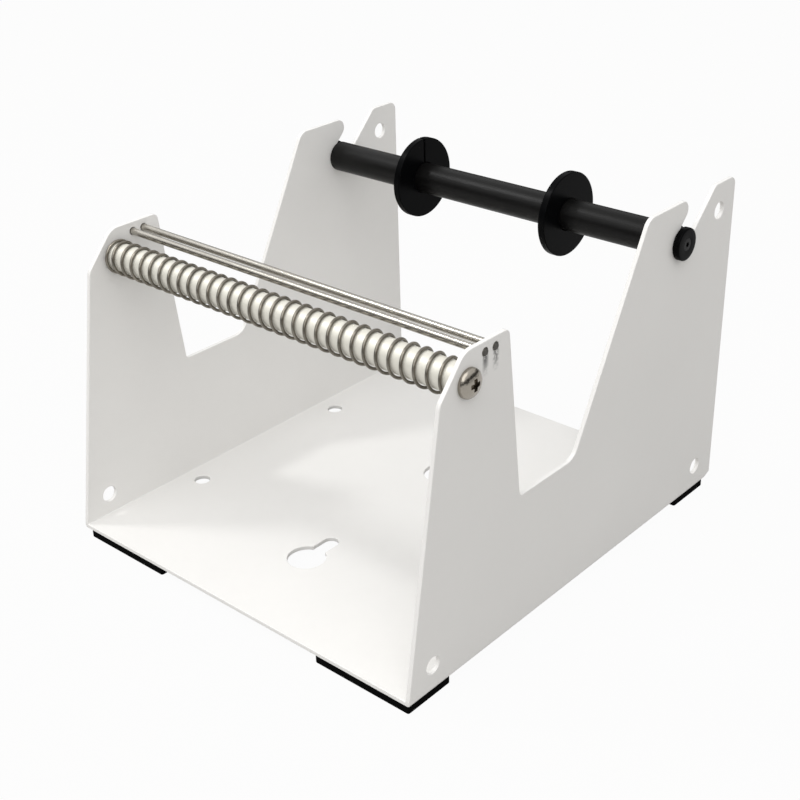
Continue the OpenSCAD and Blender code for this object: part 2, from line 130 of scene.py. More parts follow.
class SheetSettings(PropertyGroup):
    """Sizes of the folded sheet; setbacks run from its front edge and heights from its underside."""

    thickness: length("Thickness", "Thickness of the steel sheet", 2)
    fold_radius: length("Fold radius", "Inside radius of the two long folds", 0.5)
    fold_outer_radius: length("Outer fold radius", "Outside radius of the two long folds", 1.2)
    rim: length("Rim", "Radius that the coat gives to every cut edge", 0.32)
    base_gap: length("Base gap", "From the rear edge of the base to the rear edge of the cheeks", 5.3)
    lean_setback: length("Lean setback", "Setback of the upper end of the leaning edge", 20.4)
    lean_drop: length("Lean drop", "From the nose top down to the end of the leaning edge", 15.8)
    lean_radius: length("Lean radius", "Radius at the upper end of the leaning edge", 6)
    nose_setback: length("Nose setback", "Setback of the front end of the nose top", 34.4)
    nose_length: length("Nose length", "Length of the nose top", 25.8)
    nose_drop: length("Nose drop", "From the tower top down to the nose top", 14.3)
    nose_front_radius: length("Nose front radius", "Radius at the front of the nose", 8)
    nose_rear_radius: length("Nose rear radius", "Radius at the rear of the nose", 3)
    notch_gap: length("Notch gap", "From the nose top back to the bottom of the notch", 8)
    notch_length: length("Notch length", "Length of the bottom of the notch", 36.7)
    notch_height: length("Notch height", "Height of the bottom of the notch", 62)
    notch_front_radius: length("Notch front radius", "Radius in the front corner of the notch", 1.5)
    notch_rear_radius: length("Notch rear radius", "Radius in the rear corner of the notch", 8)
    tower_gap: length("Tower gap", "From the rear edge to the front corner of the tower", 68.8)
    tower_front_radius: length("Tower front radius", "Radius at the front corner of the tower", 6)
    tower_tip_radius: length("Tower tip radius", "Radius at the tip beside the slot", 4.2)
    horn_radius: length("Horn radius", "Radius at both corners of the horn", 4)
    heel_height: length("Heel height", "Height of the bevelled heel", 2.2)
    slot_width: length("Slot width", "Width of the slot for the spindle", 11.4)
    slot_angle: rotation("Slot angle", "Angle of the slot above the horizontal", pi / 4)
    hole: length("Hole", "Diameter of every round fixing hole", 7.6)
    low_hole_height: length("Low hole height", "Height of the two lower holes in a cheek", 11.8)
    low_hole_front: length("Low hole front", "Setback of the front lower hole", 14.3)
    low_hole_rear: length("Low hole rear", "From the rear edge to the rear lower hole", 14.9)
    horn_hole_gap: length("Horn hole gap", "From the rear edge to the horn's hole", 12.4)
    horn_hole_drop: length("Horn hole drop", "From the top down to the horn's hole", 12.6)
    base_hole_gap: length("Base hole gap", "From the outside of a cheek to the base holes", 12.9)
    base_row: length("Base row", "Setback of the front row of base holes", 60.9)
    base_pitch: length("Base pitch", "Distance between the two rows of base holes", 93.8)
    keyhole_mouth: length("Keyhole mouth", "Diameter of the mouth of a keyhole", 17.5)
    keyhole_neck: length("Keyhole neck", "Width of the neck of a keyhole", 7.4)
    keyhole_throw: length("Keyhole throw", "From the middle of the mouth to the end of the neck", 15.4)
    screw_hole: length("Screw hole", "Diameter of the holes for the roller screws", 6.4)
    rod_clearance: length("Rod clearance", "How much wider than a guide rod its hole is", 0.4)


class SpringSettings(PropertyGroup):
    """The open coil spring round the roller."""

    wire: length("Wire", "Diameter of the wire", 1.3)
    coil_radius: length("Coil radius", "Radius of the wire's middle line", 7.1)
    sag: length("Sag", "How far the spring hangs below the roller's axis", 0.18)
    turns: amount("Turns", "Turns from the end of the close turns to the right end", 31.6)
    close_turns: amount("Close turns", "Turns wound close at the left end", 0.3)
    close_pitch: length("Close pitch", "Distance between two close turns", 1.4)
    left_gap: length("Left gap", "From the left end of the spring to the cheek", 0.4)
    right_gap: length("Right gap", "From the right end of the spring to the cheek", 1.6)
    start_angle: rotation("Start angle", "Where the close turns end, from the top to the front", radians(32))
    facets: IntProperty(name="Facets", description="Rings of wire in one turn", default=48, min=12)
    sides: IntProperty(name="Sides", description="Sides of the wire's section", default=12, min=6)


class FittingSettings(PropertyGroup):
    """Details of the small turned pieces that their boxes don't give."""

    foot_corner: length("Foot corner", "Radius of a foot's corners", 1)
    foot_rim: length("Foot rim", "Radius round a foot's lower and upper edge", 0.4)
    rod_bevel: length("Rod bevel", "Bevel at the ends of the rods", 0.4)
    head_rim: length("Head rim", "Height of the straight rim of a roller screw's head", 1)
    screw_thread: length("Screw thread", "Diameter of a roller screw's thread", 6)
    screw_edge: length("Screw edge", "Bevel under a roller screw's head and at its tip", 0.25)
    recess_length: length("Recess length", "Length of the cross in a roller screw", 5.2)
    recess_width: length("Recess width", "Width of the cross in a roller screw", 1.9)
    recess_depth: length("Recess depth", "Depth of the cross in a roller screw", 2)
    recess_taper: amount("Recess taper", "How much the cross widens along its arms, by its depth", 0.42)
    recess_draft: amount("Recess draft", "How much the cross widens across its arms, by its depth", 0.15)
    tube_wall: length("Tube wall", "Wall of the spindle's tube", 0.9)
    cap_bevel: length("Cap bevel", "Radius round the outside of a spindle cap", 0.7)
    cap_heel: length("Cap heel", "Radius round the inside of a spindle cap", 0.3)
    cap_seat: length("Cap seat", "Radius round the seat of the screw in a cap", 0.1)
    cap_screw_head: length("Cap screw head", "Diameter of a cap screw's head", 5.6)
    cap_screw_thread: length("Cap screw thread", "Diameter of a cap screw's thread", 3)
    cap_screw_gap: length("Cap screw gap", "Clearance between a cap and its screw", 0.05)
    socket_width: length("Socket width", "Width across the flats of a cap screw's socket", 2)
    socket_depth: length("Socket depth", "Depth of a cap screw's socket", 0.9)
    disc_rim: length("Disc rim", "Radius round the edges of a disc", 0.4)
    slit: length("Slit", "Width of the slit in a disc", 0.9)
    disc_gap: length("Disc gap", "Clearance between a disc and the tube", 0.05)
    left_slit: rotation("Left slit", "Turn of the left disc's slit from the top", 0)
    right_slit: rotation("Right slit", "Turn of the right disc's slit from the top", radians(240))


class FinishSettings(PropertyGroup):
    """Colours of the finishes."""

    coat: tint("Coat", "Powder coat of the sheet", 0.81, 0.80, 0.78)
    rubber: tint("Rubber", "Feet", 0.002, 0.002, 0.002)
    roller: tint("Roller", "Satin roller rod", 0.74, 0.72, 0.645)
    wire: tint("Wire", "Spring wire", 0.222, 0.204, 0.173)
    screw: tint("Screw", "Roller screws", 0.36, 0.33, 0.285)
    guide: tint("Guide", "Guide rods", 0.545, 0.52, 0.47)
    tube: tint("Tube", "Satin tube of the spindle", 0.002, 0.0019, 0.0018)
    disc: tint("Disc", "Gloss discs and caps", 0.0014, 0.0015, 0.0017)
    bush: tint("Bush", "Bushes inside the tube", 0.05, 0.05, 0.048)
    steel: tint("Steel", "Blackened axle and cap screws", 0.004, 0.004, 0.0045)


class StageSettings(PropertyGroup):
    """Camera, floor and light."""

    eye: position("Eye", "Place of the camera", 0.37277, -0.41313, 0.35086)
    azimuth: rotation("Azimuth", "Turn of the camera from the front", radians(42.097))
    elevation: rotation("Elevation", "Angle of the camera above the horizon", radians(27.8))
    roll: rotation("Roll", "Roll of the camera", radians(-1.648))
    lens: amount("Lens", "Focal length", 61.787, unit="CAMERA")
    side_place: position("Side place", "Place of the light at the front left", -0.72, -0.36, 1.15)
    side_width: length("Side width", "Width of that light", 160)
    side_power: amount("Side power", "Power of that light", 3.6, unit="POWER")
    top_place: position("Top place", "Place of the soft light above", 0.3, -0.75, 1.2)
    top_width: length("Top width", "Width of that light", 1600)
    top_power: amount("Top power", "Power of that light", 13.1, unit="POWER")
    sky_level: amount("Sky", "Strength of the light from all round", 0.735)
    floor_width: length("Floor", "Width of the floor", 9000)
    floor_colour: tint("Floor colour", "Colour by which the floor lights the object", 0.38, 0.37, 0.355)
    floor_white: amount("Floor white", "Share of white that the camera sees on the floor", 0.96)
    curtain_foot: length("Curtain foot", "Height of the curtain's lower edge", 20)
    curtain_height: length("Curtain", "Height of the dark curtain that the gloss shows", 900)
    curtain_colour: tint("Curtain colour", "Colour of that curtain", 0.05, 0.048, 0.045)
    curtain_facets: IntProperty(name="Curtain facets", description="Facets of that curtain", default=48)


def operation(kind, swapped=False):
    """A method of Value that adds a Math node of that kind."""
    def method(self, *others):
        operands = (*others, self) if swapped else (self, *others)
        return self.bench.value("ShaderNodeMath", 0, dict(enumerate(operands)), operation=kind)

    return method


class Value:
    """A number that varies over a surface or along a path. Arithmetic on it adds Math nodes."""

    def __init__(self, bench, socket):
        self.bench = bench
        self.socket = socket

    __add__ = __radd__ = operation("ADD")
    __sub__ = operation("SUBTRACT")
    __rsub__ = operation("SUBTRACT", swapped=True)
    __mul__ = __rmul__ = operation("MULTIPLY")
    __truediv__ = operation("DIVIDE")
    __lt__ = operation("LESS_THAN")
    __gt__ = operation("GREATER_THAN")
    __abs__ = operation("ABSOLUTE")
    at_least = operation("MAXIMUM")
    at_most = operation("MINIMUM")
    sine = operation("SINE")
    cosine = operation("COSINE")


class Bench:
    """Adds nodes to one tree."""

    def __init__(self, tree):
        self.tree = tree
        tree.nodes.clear()

    def feed(self, socket, value):
        """Links a value to a socket, or sets the socket to a constant."""
        if isinstance(value, Value):
            value = value.socket
        if isinstance(value, bpy.types.NodeSocket):
            self.tree.links.new(value, socket)
        else:
            socket.default_value = value

    def node(self, kind, inputs=None, **settings):
        """A node of that kind, with its settings made first and then its sockets."""
        made = self.tree.nodes.new(kind)
        for name, value in settings.items():
            setattr(made, name, value)
        for name, value in (inputs or {}).items():
            self.feed(made.inputs[name], value)
        return made

    def value(self, kind, output, inputs=None, **settings):
        """The output of such a node, as a value."""
        return Value(self, self.node(kind, inputs, **settings).outputs[output])

    def blend(self, factor, first, second):
        """A colour between two colours."""
        return self.node("ShaderNodeMix", {0: factor, 6: first, 7: second}, data_type="RGBA").outputs[2]


class Finish(Bench):
    """A procedural material whose pattern lies on the piece's own coordinates."""

    def __init__(self, name):
        self.material = bpy.data.materials.new(name)
        self.material.use_nodes = True
        super().__init__(self.material.node_tree)
        self.place = self.node("ShaderNodeTexCoord").outputs["Object"]

    def stretched(self, across, rest=1.0):
        """Coordinates scaled across the machine and on the other two axes, for grain that runs one way."""
        inputs = {"Vector": self.place, "Scale": (across, rest, rest)}
        return self.node("ShaderNodeMapping", inputs).outputs[0]

    def noise(self, size, detail=2, roughness=0.5, place=None):
        """Noise whose patches are about that size, in metres."""
        place = place or self.place
        inputs = {"Vector": place, "Scale": 1 / size, "Detail": detail, "Roughness": roughness}
        return self.value("ShaderNodeTexNoise", "Fac", inputs)

    def ramp(self, factor, low, high):
        """The factor, spread from 0 at low to 1 at high."""
        return self.value("ShaderNodeMapRange", 0, {0: factor, 1: low, 2: high})

    def bump(self, height, distance, strength, under=None):
        """A normal that shows the height as relief of that many metres."""
        inputs = {"Height": height, "Distance": distance, "Strength": strength}
        if under is not None:
            inputs["Normal"] = under
        return self.node("ShaderNodeBump", inputs).outputs[0]

    def tones(self, pattern, colour, low, high=1.0):
        """A colour that runs from one share of itself to another with a pattern."""
        return self.blend(pattern, shade(colour, low), shade(colour, high))

    def coordinate(self, axis):
        """One of the piece's own coordinates, named X, Y or Z."""
        return self.value("ShaderNodeSeparateXYZ", axis, {0: self.place})

    def ended(self, shader):
        """The material, ended in that shader."""
        self.node("ShaderNodeOutputMaterial", {0: shader.outputs[0]})
        return self.material

    def done(self, specular=0.5, **inputs):
        """The material, ended in one principled shader with these sockets."""
        sockets = {name.replace("_", " ").title(): value for name, value in inputs.items()}
        sockets["Specular IOR Level"] = specular
        return self.ended(self.node("ShaderNodeBsdfPrincipled", sockets))


def shade(colour, share=1.0):
    """A colour, scaled and with its alpha."""
    return (*(part * share for part in colour), 1)


def painted_shadows_below(finish, places, width, drop):
    """How far the coat is darkened by painted shadow: patches that fade out below each rod on the outside of
    the cheeks.
    """
    across, up = finish.coordinate("Y"), finish.coordinate("Z")
    skin = 0.1 * MM
    outside = abs(finish.coordinate("X")) > SHEET_HIGH.x - skin
    patches = finish.ramp(finish.noise(1.4 * MM, detail=3), 0.36, 0.52)
    shadowed = [
        (1 - finish.ramp(abs(across - place.y), width / 4, width))
        * finish.ramp(up, place.z - drop, place.z - drop / 3) * (up < place.z)
        for place in places
    ]
    return sum(shadowed[1:], shadowed[0]) * outside * patches


def powder_coat(colour):
    """Satin powder coat: a fine orange peel, a tone that drifts a little over the sheet, and painted shadow
    below the rod ends.
    """
    finish = Finish("white_powder_coat")
    rods = [middle_of(node) for node in GUIDE_RODS]
    # Painted shadow: the coat darkens in patches below the ends of the guide rods
    painted_shadows = painted_shadows_below(finish, rods, width=2.1 * MM, drop=10 * MM)
    drift = finish.noise(45 * MM)
    mottle = finish.noise(4 * MM, detail=3)
    peel = finish.noise(1.1 * MM)
    sand = finish.noise(0.35 * MM, detail=1)
    tone = finish.ramp(drift * 0.7 + mottle * 0.3, 0.3, 0.7)
    unshadowed_coat = finish.tones(tone, colour, 0.975)
    return finish.done(
        # Where the painted shadow falls, the coat is darkened to a fifth of its colour
        base_color=finish.blend(painted_shadows, unshadowed_coat, shade(colour, 0.2)),
        roughness=0.42 + mottle * 0.1,
        normal=finish.bump(peel * 0.8 + sand * 0.2, 0.06 * MM, strength=0.35),
        specular=0.45,
    )


def foot_rubber(colour):
    """Black rubber with a fine pitted skin and a trace of dust."""
    finish = Finish("foot_rubber")
    pits = finish.noise(0.6 * MM, detail=3)
    dust = finish.ramp(finish.noise(6 * MM, detail=4, roughness=0.65), 0.52, 0.8)
    return finish.done(
        base_color=finish.tones(dust, colour, 1, 2.6),
        roughness=0.74 + pits * 0.16,
        normal=finish.bump(pits, 0.1 * MM, strength=0.5),
        specular=0.02,
    )


def roller_metal(colour):
    """Satin metal, turned, so its fine lines run round the rod."""
    finish = Finish("roller_aluminium")
    lines = finish.noise(20 * MM, detail=3, roughness=0.6, place=finish.stretched(90, 2))
    bloom = finish.noise(12 * MM)
    return finish.done(
        base_color=finish.tones(bloom, colour, 0.95),
        metallic=0.3,
        roughness=0.42 + lines * 0.14,
        normal=finish.bump(lines, 0.03 * MM, strength=0.25),
    )


def spring_wire(colour):
    """Drawn spring wire, dark with lighter rubbed patches."""
    finish = Finish("spring_steel")
    rubbed = finish.ramp(finish.noise(3.5 * MM, detail=3, roughness=0.6), 0.4, 0.7)
    grain = finish.noise(0.4 * MM)
    return finish.done(
        base_color=finish.tones(rubbed, colour, 0.8, 1.25),
        metallic=1.0,
        roughness=0.26 + grain * 0.16,
        normal=finish.bump(grain, 0.02 * MM, strength=0.3),
    )


def screw_metal(colour):
    """Polished steel, a little dented, so that it glitters."""
    finish = Finish("screw_steel")
    dents = finish.noise(3 * MM, detail=3, roughness=0.6)
    grain = finish.noise(0.3 * MM)
    grained = finish.bump(grain, 0.01 * MM, strength=0.3)
    return finish.done(
        base_color=finish.tones(dents, colour, 0.86),
        metallic=1.0,
        roughness=0.19 + dents * 0.1,
        normal=finish.bump(dents, 0.4 * MM, strength=0.6, under=grained),
    )


def guide_metal(colour, reach):
    """Bright drawn rod with lengthwise streaks, and duller sawn ends beyond that reach."""
    finish = Finish("guide_steel")
    streak = finish.noise(0.6 * MM, detail=3, roughness=0.6, place=finish.stretched(0.02))
    sawn = abs(finish.coordinate("X")) > reach
    bright = finish.tones(streak, colour, 0.74)
    return finish.done(
        base_color=finish.blend(sawn, bright, shade(colour, 0.2)),
        metallic=1.0,
        roughness=0.18 + streak * 0.14 + sawn * 0.3,
        normal=finish.bump(streak, 0.01 * MM, strength=0.25),
    )


def tube_finish(colour):
    """Satin black tube: fine lengthwise streaks over a slight mottle."""
    finish = Finish("satin_black_tube")
    streak = finish.noise(2.2 * MM, detail=4, roughness=0.6, place=finish.stretched(0.12))
    mottle = finish.noise(1.6 * MM, detail=3)
    worn = finish.ramp(streak * 0.6 + mottle * 0.4, 0.42, 0.66)
    return finish.done(
        base_color=finish.tones(worn, colour, 1, 1.9),
        roughness=0.3 + streak * 0.1 + mottle * 0.1,
        normal=finish.bump(streak, 0.16 * MM, strength=0.8),
        specular=0.17,
    )


def gloss_plastic(colour):
    """Moulded gloss black plastic with a faint flow pattern."""
    finish = Finish("gloss_black_plastic")
    flow = finish.noise(10 * MM)
    fine = finish.noise(0.8 * MM)
    return finish.done(
        base_color=finish.tones(flow, colour, 1, 1.5),
        roughness=0.27 + flow * 0.08,
        normal=finish.bump(fine, 0.01 * MM, strength=0.3),
        specular=0.03,
    )


def bush_plastic(colour):
    """Dry bearing plastic, dark grey and slightly grained."""
    finish = Finish("bush_plastic")
    grain = finish.noise(0.7 * MM, detail=3)
    return finish.done(
        base_color=finish.tones(grain, colour, 0.8, 1.2),
        roughness=0.5 + grain * 0.15,
        normal=finish.bump(grain, 0.02 * MM, strength=0.3),
    )


def black_steel(colour):
    """Blackened steel with a thin oily sheen."""
    finish = Finish("black_steel")
    bloom = finish.noise(1.5 * MM, detail=3)
    return finish.done(
        base_color=finish.tones(bloom, colour, 0.7, 1.4),
        metallic=0.6,
        roughness=0.3 + bloom * 0.16,
        normal=finish.bump(bloom, 0.01 * MM, strength=0.3),
        specular=0.1,
    )


def arc(middle, start, turn, step=ARC_STEP):
    """Points from start round a middle, both ends included."""
    steps = max(2, round(abs(turn) / step))
    out = start - middle
    return [middle + Matrix.Rotation(turn * k / steps, 2) @ out for k in range(steps + 1)]


def ring(middle, radius):
    """Points of a whole circle, clockwise, as the edge of a hole runs."""
    return arc(middle, middle + Vector((radius, 0)), -tau, HOLE_STEP)[:-1]


def rounded(corners, step=ARC_STEP):
    """Outline through corners that each have a radius, without points that fall together."""
    outline = []
    for i, (here, radius) in enumerate(corners):
        if not radius:
            outline.append(here)
            continue
        back = (corners[i - 1][0] - here).normalized()
        ahead = (corners[(i + 1) % len(corners)][0] - here).normalized()
        half = back.angle(ahead) / 2
        middle = here + (back + ahead).normalized() * radius / sin(half)
        turn = copysign(pi - 2 * half, -back.cross(ahead))
        outline += arc(middle, here + back * radius / tan(half), turn, step)
    return [p for i, p in enumerate(outline) if (p - outline[i - 1]).length > TINY]


def mitres(loop):
    """For each point of a loop, the step into the material on its left that moves both sides by one."""
    steps = []
    for i, here in enumerate(loop):
        before = (here - loop[i - 1]).normalized()
        after = (loop[(i + 1) % len(loop)] - here).normalized()
        first, second = Vector((-before.y, before.x)), Vector((-after.y, after.x))
        steps.append((first + second) / (1 + first.dot(second)))
    return steps


def plate(outer, holes, thickness, rim):
    """Flat plate between heights 0 and its thickness, with rounded rims. Its holes run clockwise."""
    bm = bmesh.new()
    quarter = [pi / 2 * k / RIM_STEPS for k in range(RIM_STEPS + 1)]
    lower = [(rim * (1 - sin(a)), rim * (1 - cos(a))) for a in quarter]
    upper = [(inset, thickness - height) for inset, height in reversed(lower)]
    faces = ([], [])
    for loop in [outer, *holes]:
        steps = mitres(loop)
        rings = [
            [bm.verts.new((*(p + s * inset), height)) for p, s in zip(loop, steps)]
            for inset, height in lower + upper
        ]
        for low, high in zip(rings, rings[1:]):
            for i in range(len(loop)):
                bm.faces.new((low[i - 1], low[i], high[i], high[i - 1]))
        for edges, end in zip(faces, (rings[0], rings[-1])):
            edges += [bm.edges.get((end[i - 1], end[i])) for i in range(len(end))]
    for edges in faces:
        bmesh.ops.triangle_fill(bm, edges=edges, use_beauty=True)
    return bm


def turned(outline, facets=TURNED_FACETS, hollow=False):
    """Solid turned about the X axis from points of (x, radius). A hollow one's outline closes on itself."""
    bm = bmesh.new()
    rows = []
    for x, radius in outline:
        if radius < TINY:
            rows.append([bm.verts.new((x, 0, 0))])
        else:
            angles = [tau * k / facets for k in range(facets)]
            rows.append([bm.verts.new((x, radius * cos(a), radius * sin(a))) for a in angles])
    pairs = list(zip(rows, rows[1:]))
    if hollow:
        pairs.append((rows[-1], rows[0]))
    for one, two in pairs:
        for k in range(facets):
            near = one[:1] if len(one) == 1 else [one[k - 1], one[k]]
            far = two[:1] if len(two) == 1 else [two[k], two[k - 1]]
            bm.faces.new(near + far)
    return bm


def points(*corners):
    """Corners of an outline from (x, y, radius)."""
    return [(Vector((x, y)), radius) for x, y, radius in corners]


def bar(long, radius, bevel):
    """Round bar about the origin, with bevelled ends."""
    half = long / 2
    end = [(half - bevel, radius), (half, radius - bevel), (half, 0)]
    return turned([(-x, r) for x, r in reversed(end)] + end)


def tube(long, radius, bore, rim):
    """Tube about the origin, with rounded rims."""
    half = long / 2
    corners = points((-half, bore, rim), (-half, radius, rim), (half, radius, rim), (half, bore, rim))
    return turned(rounded(corners, TUBE_RIM_STEP), hollow=True)


def move(bm, place):
    """Shifts a shape."""
    bmesh.ops.translate(bm, vec=place, verts=bm.verts)
    return bm


def reshape(bm, rule):
    """Gives each corner of a shape the place that a rule makes of it."""
    for vertex in bm.verts:
        vertex.co = rule(*vertex.co)
    return bm


def linked(name, data):
    """An object of the scene that holds this data."""
    made = bpy.data.objects.new(name, data)
    bpy.context.scene.collection.objects.link(made)
    return made


def mesh_of(name, bm, material):
    """A mesh from a shape, which is used up."""
    mesh = bpy.data.meshes.new(name)
    bm.to_mesh(mesh)
    bm.free()
    mesh.materials.append(material)
    return mesh


def smooth(mesh, sharp):
    """Shades a mesh smooth, but for the edges that turn by more than an angle."""
    mesh.shade_smooth()
    mesh.set_sharp_from_angle(angle=sharp)


def mesh_object(name, bm, material):
    """Closed, smooth object from a shape, which is used up."""
    bmesh.ops.recalc_face_normals(bm, faces=bm.faces)
    open_edges = [e for e in bm.edges if not e.is_manifold]
    if open_edges:
        raise RuntimeError(f"{name} has {len(open_edges)} open edges")
    mesh = mesh_of(name, bm, material)
    smooth(mesh, SHARP_ANGLE)
    return linked(name, mesh)


def applied(piece):
    """The piece with its modifiers made part of its mesh."""
    depsgraph = bpy.context.evaluated_depsgraph_get()
    mesh = bpy.data.meshes.new_from_object(piece.evaluated_get(depsgraph), depsgraph=depsgraph)
    piece.modifiers.clear()
    piece.data = mesh
    mesh.name = piece.name
    return piece


def evened(piece):
    """Leans the shading of rounded rims on the large flat faces beside them."""
    modifier = piece.modifiers.new("Even", "WEIGHTED_NORMAL")
    modifier.keep_sharp = True
    return applied(piece)


def cut(piece, *cutters):
    """Takes the cutters' shapes out of a piece, and removes the cutters."""
    for cutter in cutters:
        modifier = piece.modifiers.new("Cut", "BOOLEAN")
        modifier.operation = "DIFFERENCE"
        modifier.solver = "EXACT"
        modifier.object = cutter
    applied(piece)
    for cutter in cutters:
        bpy.data.objects.remove(cutter)
    smooth(piece.data, CUT_SHARP_ANGLE)


def fitted(piece, body, slot, *nodes):
    """Sets a finished piece on its body, in place of its nodes."""
    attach(piece, body)
    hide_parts(*nodes)


def tree_with(name, sockets):
    """A geometry tree with those inputs after its geometry, as (name, type)."""
    tree = bpy.data.node_groups.new(name, "GeometryNodeTree")
    tree.interface.new_socket("Geometry", in_out="INPUT", socket_type="NodeSocketGeometry")
    for socket, kind in sockets:
        tree.interface.new_socket(socket, in_out="INPUT", socket_type=kind)
    tree.interface.new_socket("Geometry", in_out="OUTPUT", socket_type="NodeSocketGeometry")
    return tree


def run_tree(piece, tree, values):
    """Runs a geometry tree on a piece with named inputs, and keeps the result as its mesh."""
    modifier = piece.modifiers.new(tree.name, "NODES")
    modifier.node_group = tree
    for item in tree.interface.items_tree:
        if item.in_out == "INPUT" and item.name in values:
            modifier[item.identifier] = values[item.name]
    applied(piece)


def end_tree(bench, geometry, material):
    """Ends a geometry tree with real geometry and its material."""
    real = bench.node("GeometryNodeRealizeInstances", {0: geometry})
    dressed = bench.node("GeometryNodeSetMaterial", {"Geometry": real.outputs[0], "Material": material})
    bench.node("NodeGroupOutput", {0: dressed.outputs[0]})


def copies_tree():
    """Sets one piece on every point, turned half round on the left side."""
    tree = tree_with("Copies", [("Piece", "NodeSocketObject"), ("Material", "NodeSocketMaterial")])
    bench = Bench(tree)
    given = bench.node("NodeGroupInput")
    info = {"Object": given.outputs["Piece"]}
    shape = bench.node("GeometryNodeObjectInfo", info, transform_space="ORIGINAL")
    place = bench.node("GeometryNodeInputPosition")
    across = bench.value("ShaderNodeSeparateXYZ", "X", {0: place.outputs[0]})
    turn = bench.node("FunctionNodeAxisAngleToRotation", {"Axis": (0, 0, 1), "Angle": (across < 0) * pi})
    copies = bench.node("GeometryNodeInstanceOnPoints", {
        "Points": given.outputs[0], "Instance": shape.outputs["Geometry"], "Rotation": turn.outputs[0],
    })
    end_tree(bench, copies.outputs[0], given.outputs["Material"])
    return tree


def both_sides(x, axis):
    """Places on an axis that runs across, at the same distance to the left and to the right."""
    return [(side * x, axis.y, axis.z) for side in (-1, 1)]


def copied(name, template, places):
    """One piece made of copies of a template at those places; the template is removed."""
    mesh = bpy.data.meshes.new(name)
    mesh.from_pydata(places, [], [])
    piece = linked(name, mesh)
    run_tree(piece, copies_tree(), {"Piece": template, "Material": template.data.materials[0]})
    bpy.data.objects.remove(template)
    return piece


def spring_tree():
    """A wire wound in a helix about X, close at the left end and open from there on."""
    numbers = (
        "Turns", "Close turns", "Close pitch", "Open pitch", "Start", "Coil radius", "Wire radius", "Angle"
    )
    tree = tree_with("Roller spring", [(name, "NodeSocketFloat") for name in numbers] + [
        ("Axis", "NodeSocketVector"), ("Points", "NodeSocketInt"), ("Sides", "NodeSocketInt"),
        ("Material", "NodeSocketMaterial"),
    ])
    bench = Bench(tree)
    given = bench.node("NodeGroupInput")
    turns, close_turns, close_pitch, open_pitch, start, coil, wire, angle = (
        Value(bench, given.outputs[name]) for name in numbers
    )
    count = given.outputs["Points"]
    line = bench.node("GeometryNodeCurvePrimitiveLine")
    path = bench.node("GeometryNodeResampleCurve", {"Curve": line.outputs[0], "Count": count}, mode="COUNT")
    share = bench.value("GeometryNodeInputIndex", 0) / (Value(bench, count) - 1)
    # Turn along the wire, below 0 in the close turns; the pitch grows over the turn after them
    turn = share * (turns + close_turns) - close_turns
    growth = turn.at_least(0).at_most(1)
    along = (
        start
        + (turn.at_most(1) + close_turns) * close_pitch
        + growth * growth * (open_pitch - close_pitch) / 2
        + (turn - 1).at_least(0) * open_pitch
    )
    spin = turn * tau + angle
    spot = bench.node("ShaderNodeCombineXYZ", {
        "X": along, "Y": 0 - spin.sine() * coil, "Z": spin.cosine() * coil,
    })
    terms = {0: spot.outputs[0], 1: given.outputs["Axis"]}
    placed = bench.node("ShaderNodeVectorMath", terms, operation="ADD")
    wound = bench.node("GeometryNodeSetPosition", {
        "Geometry": path.outputs[0], "Position": placed.outputs[0],
    })
    section = bench.node("GeometryNodeCurvePrimitiveCircle", {
        "Resolution": given.outputs["Sides"], "Radius": wire,
    })
    skin = bench.node("GeometryNodeCurveToMesh", {
        "Curve": wound.outputs[0], "Profile Curve": section.outputs[0], "Fill Caps": True,
    })
    end_tree(bench, skin.outputs[0], given.outputs["Material"])
    return tree


